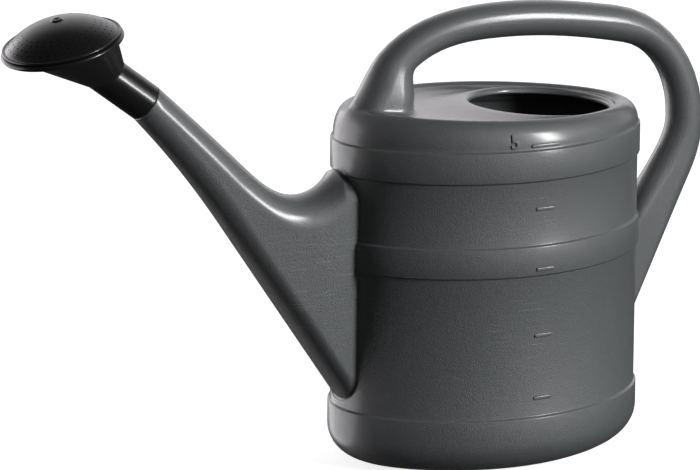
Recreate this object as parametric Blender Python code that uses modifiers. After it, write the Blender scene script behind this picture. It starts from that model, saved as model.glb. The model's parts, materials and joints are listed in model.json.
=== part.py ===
"""A five-litre garden watering can, blow-moulded in one, with a push-fit rose.

The tank, the spout and the handle are three regions of one hollow moulding,
kept apart here by a thin gap so that each is a simple solid of its own. The
rose is a funnel-shaped housing on a socket, with a domed plate pushed into it
and a seal ring between the socket and the spout's spigot.

Metres, +Z up. The can stands on z = 0, symmetric about y = 0 but for the rose,
which sits a few degrees round on its spigot. The spout points along -X, the
handle's back is at +X, and the origin is below the middle of the whole can.
"""
import math

import bmesh
import bpy
from mathutils import Matrix, Vector

# Gap between neighbouring solids
GAP = 0.0003

# Tank
TANK_X = 0.086
TANK_HALF_LENGTH = 0.108
TANK_HALF_WIDTH = 0.0767
TANK_HEIGHT = 0.2344
TANK_WALL = 0.0018
TANK_DRAFT = 0.007
PLAN_PINCH = 0.0128
TOP_SLOPE = 0.04
BASE_ROUND = 0.0225
BASE_RIM_WIDTH = 0.006
BASE_RECESS = 0.003
BAND_PROUD = 0.0016
BAND_CHAMFER = 0.0012
BOTTOM_BAND_TOP = 0.0383
MIDDLE_BAND_TOP = 0.1531
MIDDLE_BAND_WIDTH = 0.0184
TOP_BAND_DROP = 0.0183
TOP_BAND_WIDTH = 0.0191
SHOULDER_INSET = 0.011
CREST_WIDTH = 0.0015
PANEL_DROP = 0.0022
PANEL_STEP = 0.0025
FILL_RADIUS = 0.0465
FILL_X = 0.039

# Spout: each edge knot is (distance from the tank's front, height above the tank, heading)
SPOUT_WALL = 0.002
SPOUT_TIP_OUT = 0.1365
SPOUT_TIP_RISE = 0.0207
SPOUT_TIP_RADIUS = 0.0125
SPOUT_TIP_PITCH = 37.4
SPOUT_TOP_START = -43
SPOUT_TOP_SLOPE = (0.0694, -0.0268, -45)
SPOUT_TOP_VALLEY = (0.030, -0.0496, 0)
SPOUT_TOP_ROOT = (0.0045, -0.0358, 57)
SPOUT_BELOW_START = -47
SPOUT_BELOW_BEND = (0.086, -0.0629)
SPOUT_BELOW_ROOT_HEIGHT = 0.0437
SPOUT_ROOT_HALF_WIDTH = 0.0195
SPIGOT_LENGTH = 0.026
SPIGOT_WALL = 0.003

# Seal ring on the spigot
SEAL_THICKNESS = 0.0018
SEAL_AT = 0.014
SEAL_PROUD = 0.0003

# Handle: each knot is (distance from the tank's end or middle, height above the tank, heading)
HANDLE_WALL = 0.002
HANDLE_HALF_WIDTH = 0.012
HANDLE_FOOT_HALF_WIDTH = 0.016
HANDLE_ROOT_HALF_WIDTH = 0.0135
HANDLE_FRONT_OUTER = ((0.0085, 0.0051, 52), (0.029, 0.0371, 46))
HANDLE_FRONT_INNER = ((0.0515, 0.0056, 74), (0.054, 0.0276, 36))
HANDLE_TOP_OUTER = (0.013, 0.0651, 0)
HANDLE_TOP_INNER = (0.011, 0.0416, 0)
HANDLE_REAR_OUTER = ((-0.011, 0.0561, -10), (0.057, -0.0274, -90), (0.0485, -0.0624, -116))
HANDLE_REAR_INNER = ((-0.0055, 0.0306, -12), (0.032, -0.0234, -90), (0.023, -0.0479, -122))
HANDLE_ROOT_OUTER = (0.001, -0.1579, -116)
HANDLE_ROOT_INNER = (0.001, -0.0829, -122)

# Rose
ROSE_TURN = -6.8
ROSE_WALL = 0.0018
SOCKET_WALL = 0.0019
SOCKET_CLEARANCE = 0.0006
SOCKET_LENGTH = 0.0331
FACE_DISTANCE = 0.0695
FACE_TILT = 39
RIM_RADIUS = 0.0387
RIM_THICKNESS = 0.0035
RIM_TOP = 0.0005
RIM_ROUND = 0.0008
RIM_OVERHANG = 0.0067
RIM_LAND = 0.0041
FUNNEL_SHIFT = 0.002
PLATE_LEDGE = 0.0012
PLATE_WALL = 0.0018
PLATE_SKIRT = 0.0017
PLATE_RIM_INSET = 0.0011
DOME_RISE = 0.013
DOME_MARGIN = 0.0022
PIP_RADIUS = 0.0034
PIP_RISE = 0.0008
HOLE_RADIUS = 0.0008
HOLE_RINGS = ((0.0044, 20), (0.0094, 16))
HOLE_SIDES = 6

# Facets
TANK_SIDES = 40
BRANCH_SIDES = 20
ROSE_SIDES = 32
ROOT_DEPTH = 0.018

ANTHRACITE = (0.125, 0.135, 0.138, 1.0)
BLACK = (0.012, 0.012, 0.013, 1.0)
RUBBER = (0.02, 0.02, 0.02, 1.0)

SPIGOT_RADIUS = SPOUT_TIP_RADIUS - SOCKET_WALL - SOCKET_CLEARANCE
SPIGOT_BORE = SPIGOT_RADIUS - SPIGOT_WALL
SEAL_OUTER_RADIUS = SPIGOT_RADIUS + SEAL_PROUD
FUNNEL_RADIUS = RIM_RADIUS - RIM_OVERHANG
PLATE_FIT_RADIUS = RIM_RADIUS - RIM_LAND
PLATE_RADIUS = RIM_RADIUS - PLATE_RIM_INSET
DOME_RADIUS = PLATE_RADIUS - DOME_MARGIN
TOP_BAND_TOP = TANK_HEIGHT - TOP_BAND_DROP
TANK_FRONT = -TANK_HALF_LENGTH
TANK_REAR = TANK_HALF_LENGTH


def clear_scene():
    for item in list(bpy.data.objects):
        bpy.data.objects.remove(item, do_unlink=True)


def new_collection(name):
    collection = bpy.data.collections.new(name)
    bpy.context.scene.collection.children.link(collection)
    return collection


def make_material(name, colour, roughness):
    material = bpy.data.materials.new(name)
    material.use_nodes = True
    shader = material.node_tree.nodes["Principled BSDF"]
    shader.inputs["Base Color"].default_value = colour
    shader.inputs["Roughness"].default_value = roughness
    shader.inputs["Metallic"].default_value = 0.0
    return material


def finish(item, colour, roughness):
    item.data.materials.append(make_material(item.name, colour, roughness))
    item.data.shade_smooth()
    item.data.set_sharp_from_angle(angle=math.radians(35))
    return item


def mark_cutter(item):
    item.hide_render = True
    item.display_type = 'WIRE'
    return item


def loft(name, rings, collection, looped=False, capped=False, floored=False):
    """Skin a row of rings that have the same number of points; floored closes only the first."""
    mesh = bmesh.new()
    rows = [[mesh.verts.new(point) for point in ring] for ring in rings]
    pairs = list(zip(rows[:-1], rows[1:]))
    if looped:
        pairs.append((rows[-1], rows[0]))
    sides = len(rows[0])
    for low, high in pairs:
        for i in range(sides):
            j = (i + 1) % sides
            mesh.faces.new((low[i], low[j], high[j], high[i]))
    bmesh.ops.triangulate(mesh, faces=mesh.faces, quad_method='FIXED')
    if capped or floored:
        mesh.faces.new(rows[0])
    if capped:
        mesh.faces.new(rows[-1])
    bmesh.ops.recalc_face_normals(mesh, faces=mesh.faces)
    data = bpy.data.meshes.new(name)
    mesh.to_mesh(data)
    mesh.free()
    item = bpy.data.objects.new(name, data)
    collection.objects.link(item)
    return item


def subtract(item, cutter):
    cut = item.modifiers.new("cut_" + cutter.name, 'BOOLEAN')
    cut.operation = 'DIFFERENCE'
    cut.object = cutter


# ---- Tank ----

def plan_ring(half_length, half_width):
    """An oval a little leaner than an ellipse between its ends and its sides."""
    ring = []
    for i in range(TANK_SIDES):
        angle = 2 * math.pi * i / TANK_SIDES
        lean = 1 - PLAN_PINCH * (1 - math.cos(4 * angle))
        ring.append((half_length * math.cos(angle) * lean, half_width * math.sin(angle) * lean))
    return ring


def side_profile():
    """Rows of (inset, height, tilt) from the base to the crest; tilt is the share of the top's slope."""
    rows = [(BASE_ROUND + BASE_RIM_WIDTH + BASE_RECESS, BASE_RECESS, 0.0)]
    rows.append((BASE_ROUND + BASE_RIM_WIDTH, 0.0, 0.0))
    for step in range(4):
        turn = math.radians(90 * step / 3)
        reach = BASE_ROUND * (1 - math.sin(turn)) - BAND_PROUD * math.sin(turn)
        rows.append((reach, BASE_ROUND * (1 - math.cos(turn)), 0.0))
    rows += band_edge(BOTTOM_BAND_TOP)
    rows += reversed(band_edge(MIDDLE_BAND_TOP - MIDDLE_BAND_WIDTH, -1))
    rows += band_edge(MIDDLE_BAND_TOP)
    rows += reversed(band_edge(TOP_BAND_TOP - TOP_BAND_WIDTH, -1))
    rows += band_edge(TOP_BAND_TOP)
    start = TOP_BAND_TOP + BAND_CHAMFER
    for step in range(1, 5):
        turn = math.radians(90 * step / 4)
        height = start + (TANK_HEIGHT - start) * math.sin(turn)
        rows.append((SHOULDER_INSET * (1 - math.cos(turn)), height, math.sin(turn)))
    rows.append((SHOULDER_INSET + CREST_WIDTH, TANK_HEIGHT - PANEL_DROP / 5, 1.0))
    rows.append((SHOULDER_INSET + CREST_WIDTH + PANEL_STEP, TANK_HEIGHT - PANEL_DROP, 1.0))
    return rows


def band_edge(height, side=1):
    """A band's edge, from its proud face to the wall beside it."""
    return [(-BAND_PROUD, height, 0.0), (0.0, height + side * BAND_CHAMFER, 0.0)]


def tank_rings(grow=0.0):
    """The tank's outside from the base to the fill opening, moved outwards by grow."""
    rings = []
    for inset, height, tilt in side_profile():
        draft = TANK_DRAFT * (TOP_BAND_TOP - min(height, TOP_BAND_TOP))
        out = draft - inset + (grow if tilt < 1 else -grow)
        lift = 0.0
        if tilt > 0:
            lift = grow
        elif height < BASE_ROUND:
            lift = -grow
        ring = []
        for x, y in plan_ring(TANK_HALF_LENGTH + out, TANK_HALF_WIDTH + out):
            ring.append(Vector((TANK_X + x, y, height + lift - tilt * TOP_SLOPE * x)))
        rings.append(ring)
    opening = []
    for i in range(TANK_SIDES):
        angle = 2 * math.pi * i / TANK_SIDES
        x = FILL_X + (FILL_RADIUS - grow) * math.cos(angle)
        y = (FILL_RADIUS - grow) * math.sin(angle)
        opening.append(Vector((TANK_X + x, y, TANK_HEIGHT - PANEL_DROP + grow - TOP_SLOPE * x)))
    panel = rings[-1]
    rings.append([edge.lerp(lip, 0.5) for edge, lip in zip(panel, opening)])
    rings.append(opening)
    return rings


def make_tank(parts, cutters):
    """The shell: base, side with its three bands, shoulder, sunk panel and fill opening."""
    shell = loft("tank", tank_rings(), parts, floored=True)
    base = max(shell.data.polygons, key=lambda face: face.loop_total)
    if base.normal.z > 0:
        shell.data.flip_normals()
    wall = shell.modifiers.new("wall", 'SOLIDIFY')
    wall.thickness = TANK_WALL
    wall.offset = -1
    wall.use_even_offset = True
    for root in (spout_hollow(cutters), handle_hollow(cutters)):
        subtract(shell, root)
    return finish(shell, ANTHRACITE, 0.42)


def make_envelope(cutters):
    """The tank's outside with its opening closed, a gap larger, which trims what grows out of it."""
    return mark_cutter(loft("tank_envelope", tank_rings(GAP), cutters, capped=True))


# ---- Spout and handle ----

def bezier_run(start, end, steps):
    """Points and headings between two knots, on the curve nearest to an arc that joins them."""
    a = Vector(start[:2])
    b = Vector(end[:2])
    turn = abs((end[2] - start[2] + 180) % 360 - 180)
    turn = math.radians(max(turn, 0.1))
    reach = (b - a).length * (4 / 3 * math.tan(turn / 4)) / (2 * math.sin(turn / 2))
    leave = a + reach * Vector((math.cos(math.radians(start[2])), math.sin(math.radians(start[2]))))
    arrive = b - reach * Vector((math.cos(math.radians(end[2])), math.sin(math.radians(end[2]))))
    run = []
    for i in range(steps):
        t = i / steps
        s = 1 - t
        point = a * s ** 3 + leave * 3 * s * s * t + arrive * 3 * s * t * t + b * t ** 3
        along = (leave - a) * s * s + (arrive - leave) * 2 * s * t + (b - arrive) * t * t
        run.append((point, along.normalized()))
    return run


def edge_points(knots, steps, inset):
    """An edge through its knots, moved by inset to the right of its heading."""
    run = []
    for start, end in zip(knots[:-1], knots[1:]):
        run += bezier_run(start, end, steps)
    last = math.radians(knots[-1][2])
    run.append((Vector(knots[-1][:2]), Vector((math.cos(last), math.sin(last)))))
    return [point + inset * Vector((along.y, -along.x)) for point, along in run]


def section_ring(top, below, half_width):
    """A round-ended section that spans from one edge to the other, as wide as twice half_width."""
    middle = (top + below) / 2
    half_height = (top - below).length / 2
    up = (top - below).normalized()
    flank = max(half_height - half_width, 0.0)
    end_radius = min(half_height, half_width)
    arc_share = 3 * math.pi / 2 * end_radius
    arc_share = arc_share / (arc_share + flank)
    quarter = BRANCH_SIDES // 4
    ring = []
    for i in range(BRANCH_SIDES):
        side, place = divmod(i, quarter)
        u = place / quarter
        if side % 2:
            u = 1 - u
        turn = min(u / arc_share, 1.0) * math.pi / 2
        rise = end_radius * math.cos(turn) + flank
        if u > arc_share:
            rise = flank * (1 - u) / (1 - arc_share)
        rise = -rise if side in (1, 2) else rise
        out = half_width * math.sin(turn) * (1 if side < 2 else -1)
        point = middle + up * rise
        ring.append(Vector((TANK_X + point.x, out, point.y)))
    return ring


def branch_rings(top_knots, below_knots, half_widths, steps, inset=0.0):
    """Sections between a top edge and a lower edge, each inset by the wall for the hollow."""
    top = edge_points(top_knots, steps, inset)
    below = edge_points(below_knots, steps, -inset)
    rings = []
    for i, (high, low) in enumerate(zip(top, below)):
        knot = min(i // steps, len(half_widths) - 2)
        share = i / steps - knot
        width = half_widths[knot] * (1 - share) + half_widths[knot + 1] * share
        rings.append(section_ring(high, low, width - inset))
    return rings


def moved(ring, x=0.0, z=0.0):
    return [point + Vector((x, 0, z)) for point in ring]


def tip_frame():
    """The spigot's root: local Z along the spigot, local X up across it."""
    pitch = math.radians(SPOUT_TIP_PITCH)
    along = Vector((-math.cos(pitch), 0, math.sin(pitch)))
    across = Vector((math.sin(pitch), 0, math.cos(pitch)))
    frame = Matrix((across, Vector((0, 1, 0)), along)).transposed().to_4x4()
    height = TANK_HEIGHT + SPOUT_TIP_RISE
    frame.translation = Vector((TANK_X + TANK_FRONT - SPOUT_TIP_OUT, 0, height))
    return frame


def spout_knots():
    """The spout's top edge and lower edge, from its tip to the tank's front."""
    frame = tip_frame()
    ends = []
    for side in (1, -1):
        end = frame @ Vector((side * SPOUT_TIP_RADIUS, 0, 0))
        ends.append((end.x - TANK_X, end.z))
    top = [(*ends[0], SPOUT_TOP_START)]
    for out, rise, heading in (SPOUT_TOP_SLOPE, SPOUT_TOP_VALLEY, SPOUT_TOP_ROOT):
        top.append((TANK_FRONT - out, TANK_HEIGHT + rise, heading))
    bend = Vector((TANK_FRONT - SPOUT_BELOW_BEND[0], TANK_HEIGHT + SPOUT_BELOW_BEND[1]))
    root = Vector((TANK_FRONT, SPOUT_BELOW_ROOT_HEIGHT))
    heading = math.degrees(math.atan2(root.y - bend.y, root.x - bend.x))
    below = [(*ends[1], SPOUT_BELOW_START), (*bend, heading)]
    below += [(*bend.lerp(root, 0.6), heading), (*root, heading)]
    return top, below


def spout_rings(inset=0.0):
    top, below = spout_knots()
    middle = (SPOUT_TIP_RADIUS + SPOUT_ROOT_HALF_WIDTH) / 2
    widths = (SPOUT_TIP_RADIUS, middle, SPOUT_ROOT_HALF_WIDTH, SPOUT_ROOT_HALF_WIDTH)
    rings = branch_rings(top, below, widths, 4, inset)
    return rings + [moved(rings[-1], x=ROOT_DEPTH)]


def tip_ring(radius, along):
    """A ring round the spigot's axis, with its points in step with the spout's sections."""
    frame = tip_frame()
    ring = []
    for i in range(BRANCH_SIDES):
        turn = 2 * math.pi * i / BRANCH_SIDES
        ring.append(frame @ Vector((radius * math.cos(turn), radius * math.sin(turn), along)))
    return ring


def spout_hollow(cutters):
    rings = spout_rings(SPOUT_WALL)
    return mark_cutter(loft("spout_hollow", rings, cutters, capped=True))


def make_spout(parts, envelope):
    """A tapering hollow with a deep root, and the spigot that takes the rose."""
    groove_radius = SEAL_OUTER_RADIUS - SEAL_THICKNESS - GAP
    groove_half = SEAL_THICKNESS / 2 + GAP
    spigot = [(SPIGOT_RADIUS, 0), (SPIGOT_RADIUS, SEAL_AT - groove_half)]
    spigot += [(groove_radius, SEAL_AT - groove_half), (groove_radius, SEAL_AT + groove_half)]
    spigot += [(SPIGOT_RADIUS, SEAL_AT + groove_half), (SPIGOT_RADIUS, SPIGOT_LENGTH - 0.001)]
    spigot += [(SPIGOT_RADIUS - 0.001, SPIGOT_LENGTH), (SPIGOT_BORE, SPIGOT_LENGTH), (SPIGOT_BORE, 0)]
    rings = list(reversed(spout_rings()))
    rings += [tip_ring(radius, along) for radius, along in spigot]
    rings += spout_rings(SPOUT_WALL)[1:]
    spout = loft("spout", rings, parts, looped=True)
    subtract(spout, envelope)
    return finish(spout, ANTHRACITE, 0.42)


def handle_knots():
    """The handle's outer edge and inner edge, from the front foot over the top to the rear root."""
    edges = []
    for front, top, rear, root in (
            (HANDLE_FRONT_OUTER, HANDLE_TOP_OUTER, HANDLE_REAR_OUTER, HANDLE_ROOT_OUTER),
            (HANDLE_FRONT_INNER, HANDLE_TOP_INNER, HANDLE_REAR_INNER, HANDLE_ROOT_INNER)):
        knots = [(TANK_FRONT + x, TANK_HEIGHT + z, heading) for x, z, heading in front]
        knots.append((top[0], TANK_HEIGHT + top[1], top[2]))
        knots += [(TANK_REAR + x, TANK_HEIGHT + z, heading) for x, z, heading in (*rear, root)]
        edges.append(knots)
    return edges


def handle_rings(inset=0.0):
    outer, inner = handle_knots()
    grip = HANDLE_HALF_WIDTH
    widths = (HANDLE_FOOT_HALF_WIDTH, grip, grip, grip, grip, grip, HANDLE_ROOT_HALF_WIDTH)
    rings = branch_rings(outer, inner, widths, 4, inset)
    return [moved(rings[0], z=-ROOT_DEPTH)] + rings + [moved(rings[-1], x=-ROOT_DEPTH)]


def handle_hollow(cutters):
    rings = handle_rings(HANDLE_WALL)
    return mark_cutter(loft("handle_hollow", rings, cutters, capped=True))


def make_handle(parts, envelope):
    """A hollow tube over the top of the tank, with a flared front foot and a deep rear root."""
    rings = handle_rings() + list(reversed(handle_rings(HANDLE_WALL)))
    handle = loft("handle", rings, parts, looped=True)
    subtract(handle, envelope)
    return finish(handle, ANTHRACITE, 0.42)


# ---- Rose ----

def make_empty(name, matrix, parts):
    empty = bpy.data.objects.new(name, None)
    empty.matrix_world = matrix
    parts.objects.link(empty)
    return empty


def face_matrix():
    """The rose's face in the socket's frame: its centre on the socket's axis, tilted up."""
    return Matrix.Translation((0, 0, FACE_DISTANCE)) @ Matrix.Rotation(math.radians(FACE_TILT), 4, 'Y')


def face_ring(radius, along, shift=0.0):
    ring = []
    for i in range(ROSE_SIDES):
        turn = 2 * math.pi * i / ROSE_SIDES
        local = Vector((shift + radius * math.cos(turn), radius * math.sin(turn), along))
        ring.append(face_matrix() @ local)
    return ring


def socket_ring(radius, along, mitre=0.0):
    slope = math.tan(math.radians(mitre))
    ring = []
    for i in range(ROSE_SIDES):
        turn = 2 * math.pi * i / ROSE_SIDES
        x = radius * math.cos(turn)
        ring.append(Vector((x, radius * math.sin(turn), along - x * slope)))
    return ring


def make_housing(parts, axis):
    """The socket, the funnel and the rim with the ledge that the plate stands on."""
    bore = SPIGOT_RADIUS + SOCKET_CLEARANCE
    under = RIM_TOP - RIM_THICKNESS
    mitre = FACE_TILT / 2
    rings = [socket_ring(SPOUT_TIP_RADIUS, GAP), socket_ring(SPOUT_TIP_RADIUS, SOCKET_LENGTH, mitre)]
    rings.append(face_ring(FUNNEL_RADIUS, under, FUNNEL_SHIFT))
    rings.append(face_ring(RIM_RADIUS - RIM_ROUND, under))
    rings.append(face_ring(RIM_RADIUS, under + RIM_ROUND))
    rings.append(face_ring(RIM_RADIUS, RIM_TOP - RIM_ROUND))
    rings.append(face_ring(RIM_RADIUS - RIM_ROUND, RIM_TOP))
    rings.append(face_ring(PLATE_FIT_RADIUS, RIM_TOP))
    rings.append(face_ring(PLATE_FIT_RADIUS, -PLATE_LEDGE))
    rings.append(face_ring(FUNNEL_RADIUS - ROSE_WALL, -PLATE_LEDGE, FUNNEL_SHIFT))
    rings.append(face_ring(FUNNEL_RADIUS - ROSE_WALL, under, FUNNEL_SHIFT))
    rings.append(socket_ring(bore, SOCKET_LENGTH, mitre))
    rings.append(socket_ring(bore, GAP))
    housing = loft("rose_housing", rings, parts, looped=True)
    housing.parent = axis
    return finish(housing, BLACK, 0.25)


def make_plate(parts, cutters, face):
    """A domed plate turned about the face's axis: a pip on top, rings of spray holes and a skirt."""
    seat = RIM_TOP + GAP
    rim = PLATE_RADIUS
    skirt = PLATE_FIT_RADIUS - GAP
    base = seat + PLATE_WALL
    peak = base + DOME_RISE
    profile = [(0, peak + PIP_RISE), (PIP_RADIUS - PIP_RISE, peak + PIP_RISE)]
    profile += dome_arc(DOME_RADIUS, base, DOME_RISE, PIP_RADIUS)
    profile += [(rim - PLATE_WALL / 3, base), (rim, base - PLATE_WALL / 3), (rim, seat)]
    profile += [(skirt, seat), (skirt, seat - PLATE_SKIRT)]
    profile += [(skirt - PLATE_WALL, seat - PLATE_SKIRT)]
    profile += reversed(dome_arc(skirt - PLATE_WALL, seat, peak - PLATE_WALL - seat, 0))
    plate = turned("rose_plate", profile, parts)
    plate.parent = face
    subtract(plate, hole_cutter(cutters, face))
    return finish(plate, BLACK, 0.3)


def dome_arc(radius, height, rise, inner):
    """A spherical cap's arc from an inner radius, or its top, down to its edge."""
    sphere = (radius ** 2 + rise ** 2) / (2 * rise)
    first = math.asin(inner / sphere)
    last = math.asin(radius / sphere)
    arc = []
    for i in range(5):
        turn = first + (last - first) * i / 4
        arc.append((sphere * math.sin(turn), height + rise - sphere * (1 - math.cos(turn))))
    return arc


def turned(name, profile, collection):
    """Turn a profile of (radius, height), top to bottom down its outer side, about local Z."""
    data = bpy.data.meshes.new(name)
    points = [(radius, 0, height) for radius, height in profile]
    data.from_pydata(points, [(i, i + 1) for i in range(len(points) - 1)], [])
    item = bpy.data.objects.new(name, data)
    collection.objects.link(item)
    screw = item.modifiers.new("turn", 'SCREW')
    screw.steps = ROSE_SIDES
    screw.render_steps = ROSE_SIDES
    screw.use_merge_vertices = True
    screw.merge_threshold = 0.00001
    return item


def hole_cutter(cutters, face):
    """Every spray hole as one prism, all parallel to the face's axis."""
    prisms = bmesh.new()
    depth = 4 * DOME_RISE
    for margin, count in HOLE_RINGS:
        radius = DOME_RADIUS - margin
        for i in range(count):
            turn = 2 * math.pi * i / count
            place = Matrix.Translation((radius * math.cos(turn), radius * math.sin(turn), 0))
            bmesh.ops.create_cone(prisms, cap_ends=True, segments=HOLE_SIDES, radius1=HOLE_RADIUS,
                                  radius2=HOLE_RADIUS, depth=depth, matrix=place)
    data = bpy.data.meshes.new("spray_holes")
    prisms.to_mesh(data)
    prisms.free()
    cutter = bpy.data.objects.new("spray_holes", data)
    cutters.objects.link(cutter)
    cutter.parent = face
    return mark_cutter(cutter)


def make_seal(parts, axis):
    """A rubber ring in the spigot's groove."""
    bpy.ops.mesh.primitive_torus_add(
        major_radius=SEAL_OUTER_RADIUS - SEAL_THICKNESS / 2, minor_radius=SEAL_THICKNESS / 2,
        major_segments=20, minor_segments=6)
    seal = bpy.context.object
    seal.name = "rose_seal"
    for holder in list(seal.users_collection):
        holder.objects.unlink(seal)
    parts.objects.link(seal)
    seal.location = (0, 0, SEAL_AT)
    seal.parent = axis
    return finish(seal, RUBBER, 0.7)


def build():
    clear_scene()
    parts = new_collection("watering_can")
    cutters = new_collection("cutters")
    envelope = make_envelope(cutters)
    make_tank(parts, cutters)
    make_spout(parts, envelope)
    make_handle(parts, envelope)
    turned_tip = tip_frame() @ Matrix.Rotation(math.radians(ROSE_TURN), 4, 'Z')
    axis = make_empty("rose_axis", turned_tip, parts)
    face = make_empty("rose_face", face_matrix(), parts)
    face.parent = axis
    make_housing(parts, axis)
    make_plate(parts, cutters, face)
    make_seal(parts, axis)


build()
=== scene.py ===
"""A five-litre garden watering can: a satin anthracite blow moulding with a glossy push-fit rose."""
import json
import math

import bmesh
import bpy
from mathutils import Matrix, Vector
from mathutils.bvhtree import BVHTree


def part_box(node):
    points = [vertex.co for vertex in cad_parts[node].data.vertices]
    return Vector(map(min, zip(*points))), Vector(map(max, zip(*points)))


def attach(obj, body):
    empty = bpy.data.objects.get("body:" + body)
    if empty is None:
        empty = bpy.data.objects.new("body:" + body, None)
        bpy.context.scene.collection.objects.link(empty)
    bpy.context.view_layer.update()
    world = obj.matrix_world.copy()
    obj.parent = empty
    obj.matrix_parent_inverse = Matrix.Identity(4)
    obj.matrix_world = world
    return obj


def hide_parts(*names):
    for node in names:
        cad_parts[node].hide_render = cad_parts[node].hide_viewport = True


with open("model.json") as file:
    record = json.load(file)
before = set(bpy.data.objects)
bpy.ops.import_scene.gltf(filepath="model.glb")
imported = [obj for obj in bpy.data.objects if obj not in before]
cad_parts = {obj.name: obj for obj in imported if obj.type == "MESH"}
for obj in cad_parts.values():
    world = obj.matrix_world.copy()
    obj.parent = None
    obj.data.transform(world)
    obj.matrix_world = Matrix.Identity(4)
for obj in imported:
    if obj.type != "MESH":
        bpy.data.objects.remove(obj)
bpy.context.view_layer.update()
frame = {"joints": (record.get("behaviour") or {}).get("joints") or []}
joints = {joint["name"]: joint for joint in frame["joints"]}

# ---- Shell of the tank ----
# The can is one blow moulding of satin polyethylene with a wall just under 2 mm. Its tank is a lean
# oval with three raised bands, a rounded shoulder, a sunk top panel and a round filling mouth whose
# rim is trimmed out of the panel. Here it is skinned from rings, outside and inside.

WALL = 0.0018
BAND_PROUD = 0.0016
BAND_EDGE = 0.0017
INSIDE_BAND_EDGE = 0.004
DRAFT = 0.007
PLAN_PINCH = 0.0128
TOP_SLOPE = 0.04
TANK_HEIGHT = 0.2344
BASE_ROUND = 0.0225
BASE_RIM = 0.006
BASE_RECESS = 0.003
BOTTOM_BAND_TOP = 0.0383
MIDDLE_BAND = (0.1347, 0.1531)
TOP_BAND = (0.1970, 0.2161)
SHOULDER_INSET = 0.011
PANEL_RUN = 0.005
PANEL_DROP = 0.0022
PANEL_DISH = 0.0024
MOUTH_X = 0.039
MOUTH_RADIUS = 0.0465
LIP_ROUND = 0.0034
RECESS_RUN = 0.003
PLAN_POINTS = 192
RECESS_STEPS = 6
BASE_STEPS = 12
BAND_STEPS = 7
SHOULDER_STEPS = 14
PANEL_STEPS = 8
LIP_STEPS = 5
PANEL_SHARES = (0.12, 0.26, 0.42, 0.6, 0.78, 0.92)

tank_low, tank_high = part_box("tank")
tank_x = (tank_low.x + tank_high.x) / 2
widest = BAND_PROUD + DRAFT * (TOP_BAND[1] - BASE_ROUND)
half_length = (tank_high.x - tank_low.x) / 2 - widest
half_width = (tank_high.y - tank_low.y) / 2 - widest


class Wire:
    """One output of a node, which takes part in Python sums and feeds other nodes."""

    def __init__(self, tree, out=None):
        self.tree = tree
        self.out = out

    def node(self, kind, settings=None, inputs=None, output=0):
        """Add a node: its settings first, then a value or a wire for each socket; give one output."""
        made = self.tree.nodes.new(kind)
        for name, value in (settings or {}).items():
            setattr(made, name, value)
        for key, value in (inputs or {}).items():
            if isinstance(value, Wire):
                self.tree.links.new(value.out, made.inputs[key])
            else:
                made.inputs[key].default_value = value
        return Wire(self.tree, made.outputs[output] if made.outputs else None)

    def maths(self, operation, first, second):
        return self.node("ShaderNodeMath", {"operation": operation}, {0: first, 1: second})

    def __add__(self, other):
        return self.maths('ADD', self, other)

    def __radd__(self, other):
        return self.maths('ADD', other, self)

    def __sub__(self, other):
        return self.maths('SUBTRACT', self, other)

    def __rsub__(self, other):
        return self.maths('SUBTRACT', other, self)

    def __mul__(self, other):
        return self.maths('MULTIPLY', self, other)

    def __rmul__(self, other):
        return self.maths('MULTIPLY', other, self)

    def between(self, low, high):
        """0 below low and 1 above high, smooth between them."""
        return self.node("ShaderNodeMapRange", {"interpolation_type": 'SMOOTHSTEP'},
                         {"Value": self, "From Min": low, "From Max": high})

    def noise(self, scale, detail=2.0, rough=0.5):
        """Noise on this wire's coordinates, about 0.5."""
        return self.node("ShaderNodeTexNoise", None,
                         {"Vector": self, "Scale": scale, "Detail": detail, "Roughness": rough})

    def mix(self, low, high):
        """The colour from low to high by this wire."""
        return self.node("ShaderNodeMix", {"data_type": 'RGBA'}, {0: self, 6: low, 7: high}, 2)


def new_material(name, roughness, **fixed):
    """A Principled material; gives it, its object coordinates and its shader node."""
    material = bpy.data.materials.new(name)
    material.use_nodes = True
    tree = material.node_tree
    shader = tree.nodes["Principled BSDF"]
    shader.inputs["Roughness"].default_value = roughness
    for key, value in fixed.items():
        shader.inputs[key.replace("_", " ")].default_value = value
    return material, Wire(tree).node("ShaderNodeTexCoord", output=3), shader


def feed(shader, **wires):
    for key, wire in wires.items():
        wire.tree.links.new(wire.out, shader.inputs[key.replace("_", " ")])


# Where the plastic is scuffed, and how far each scuffed patch reaches.
SCUFFS = (((-0.050, -0.018, 0.135), 0.06), ((0.070, -0.078, 0.096), 0.035),
          ((0.075, -0.077, 0.176), 0.03), ((-0.100, -0.012, 0.200), 0.03))


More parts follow.
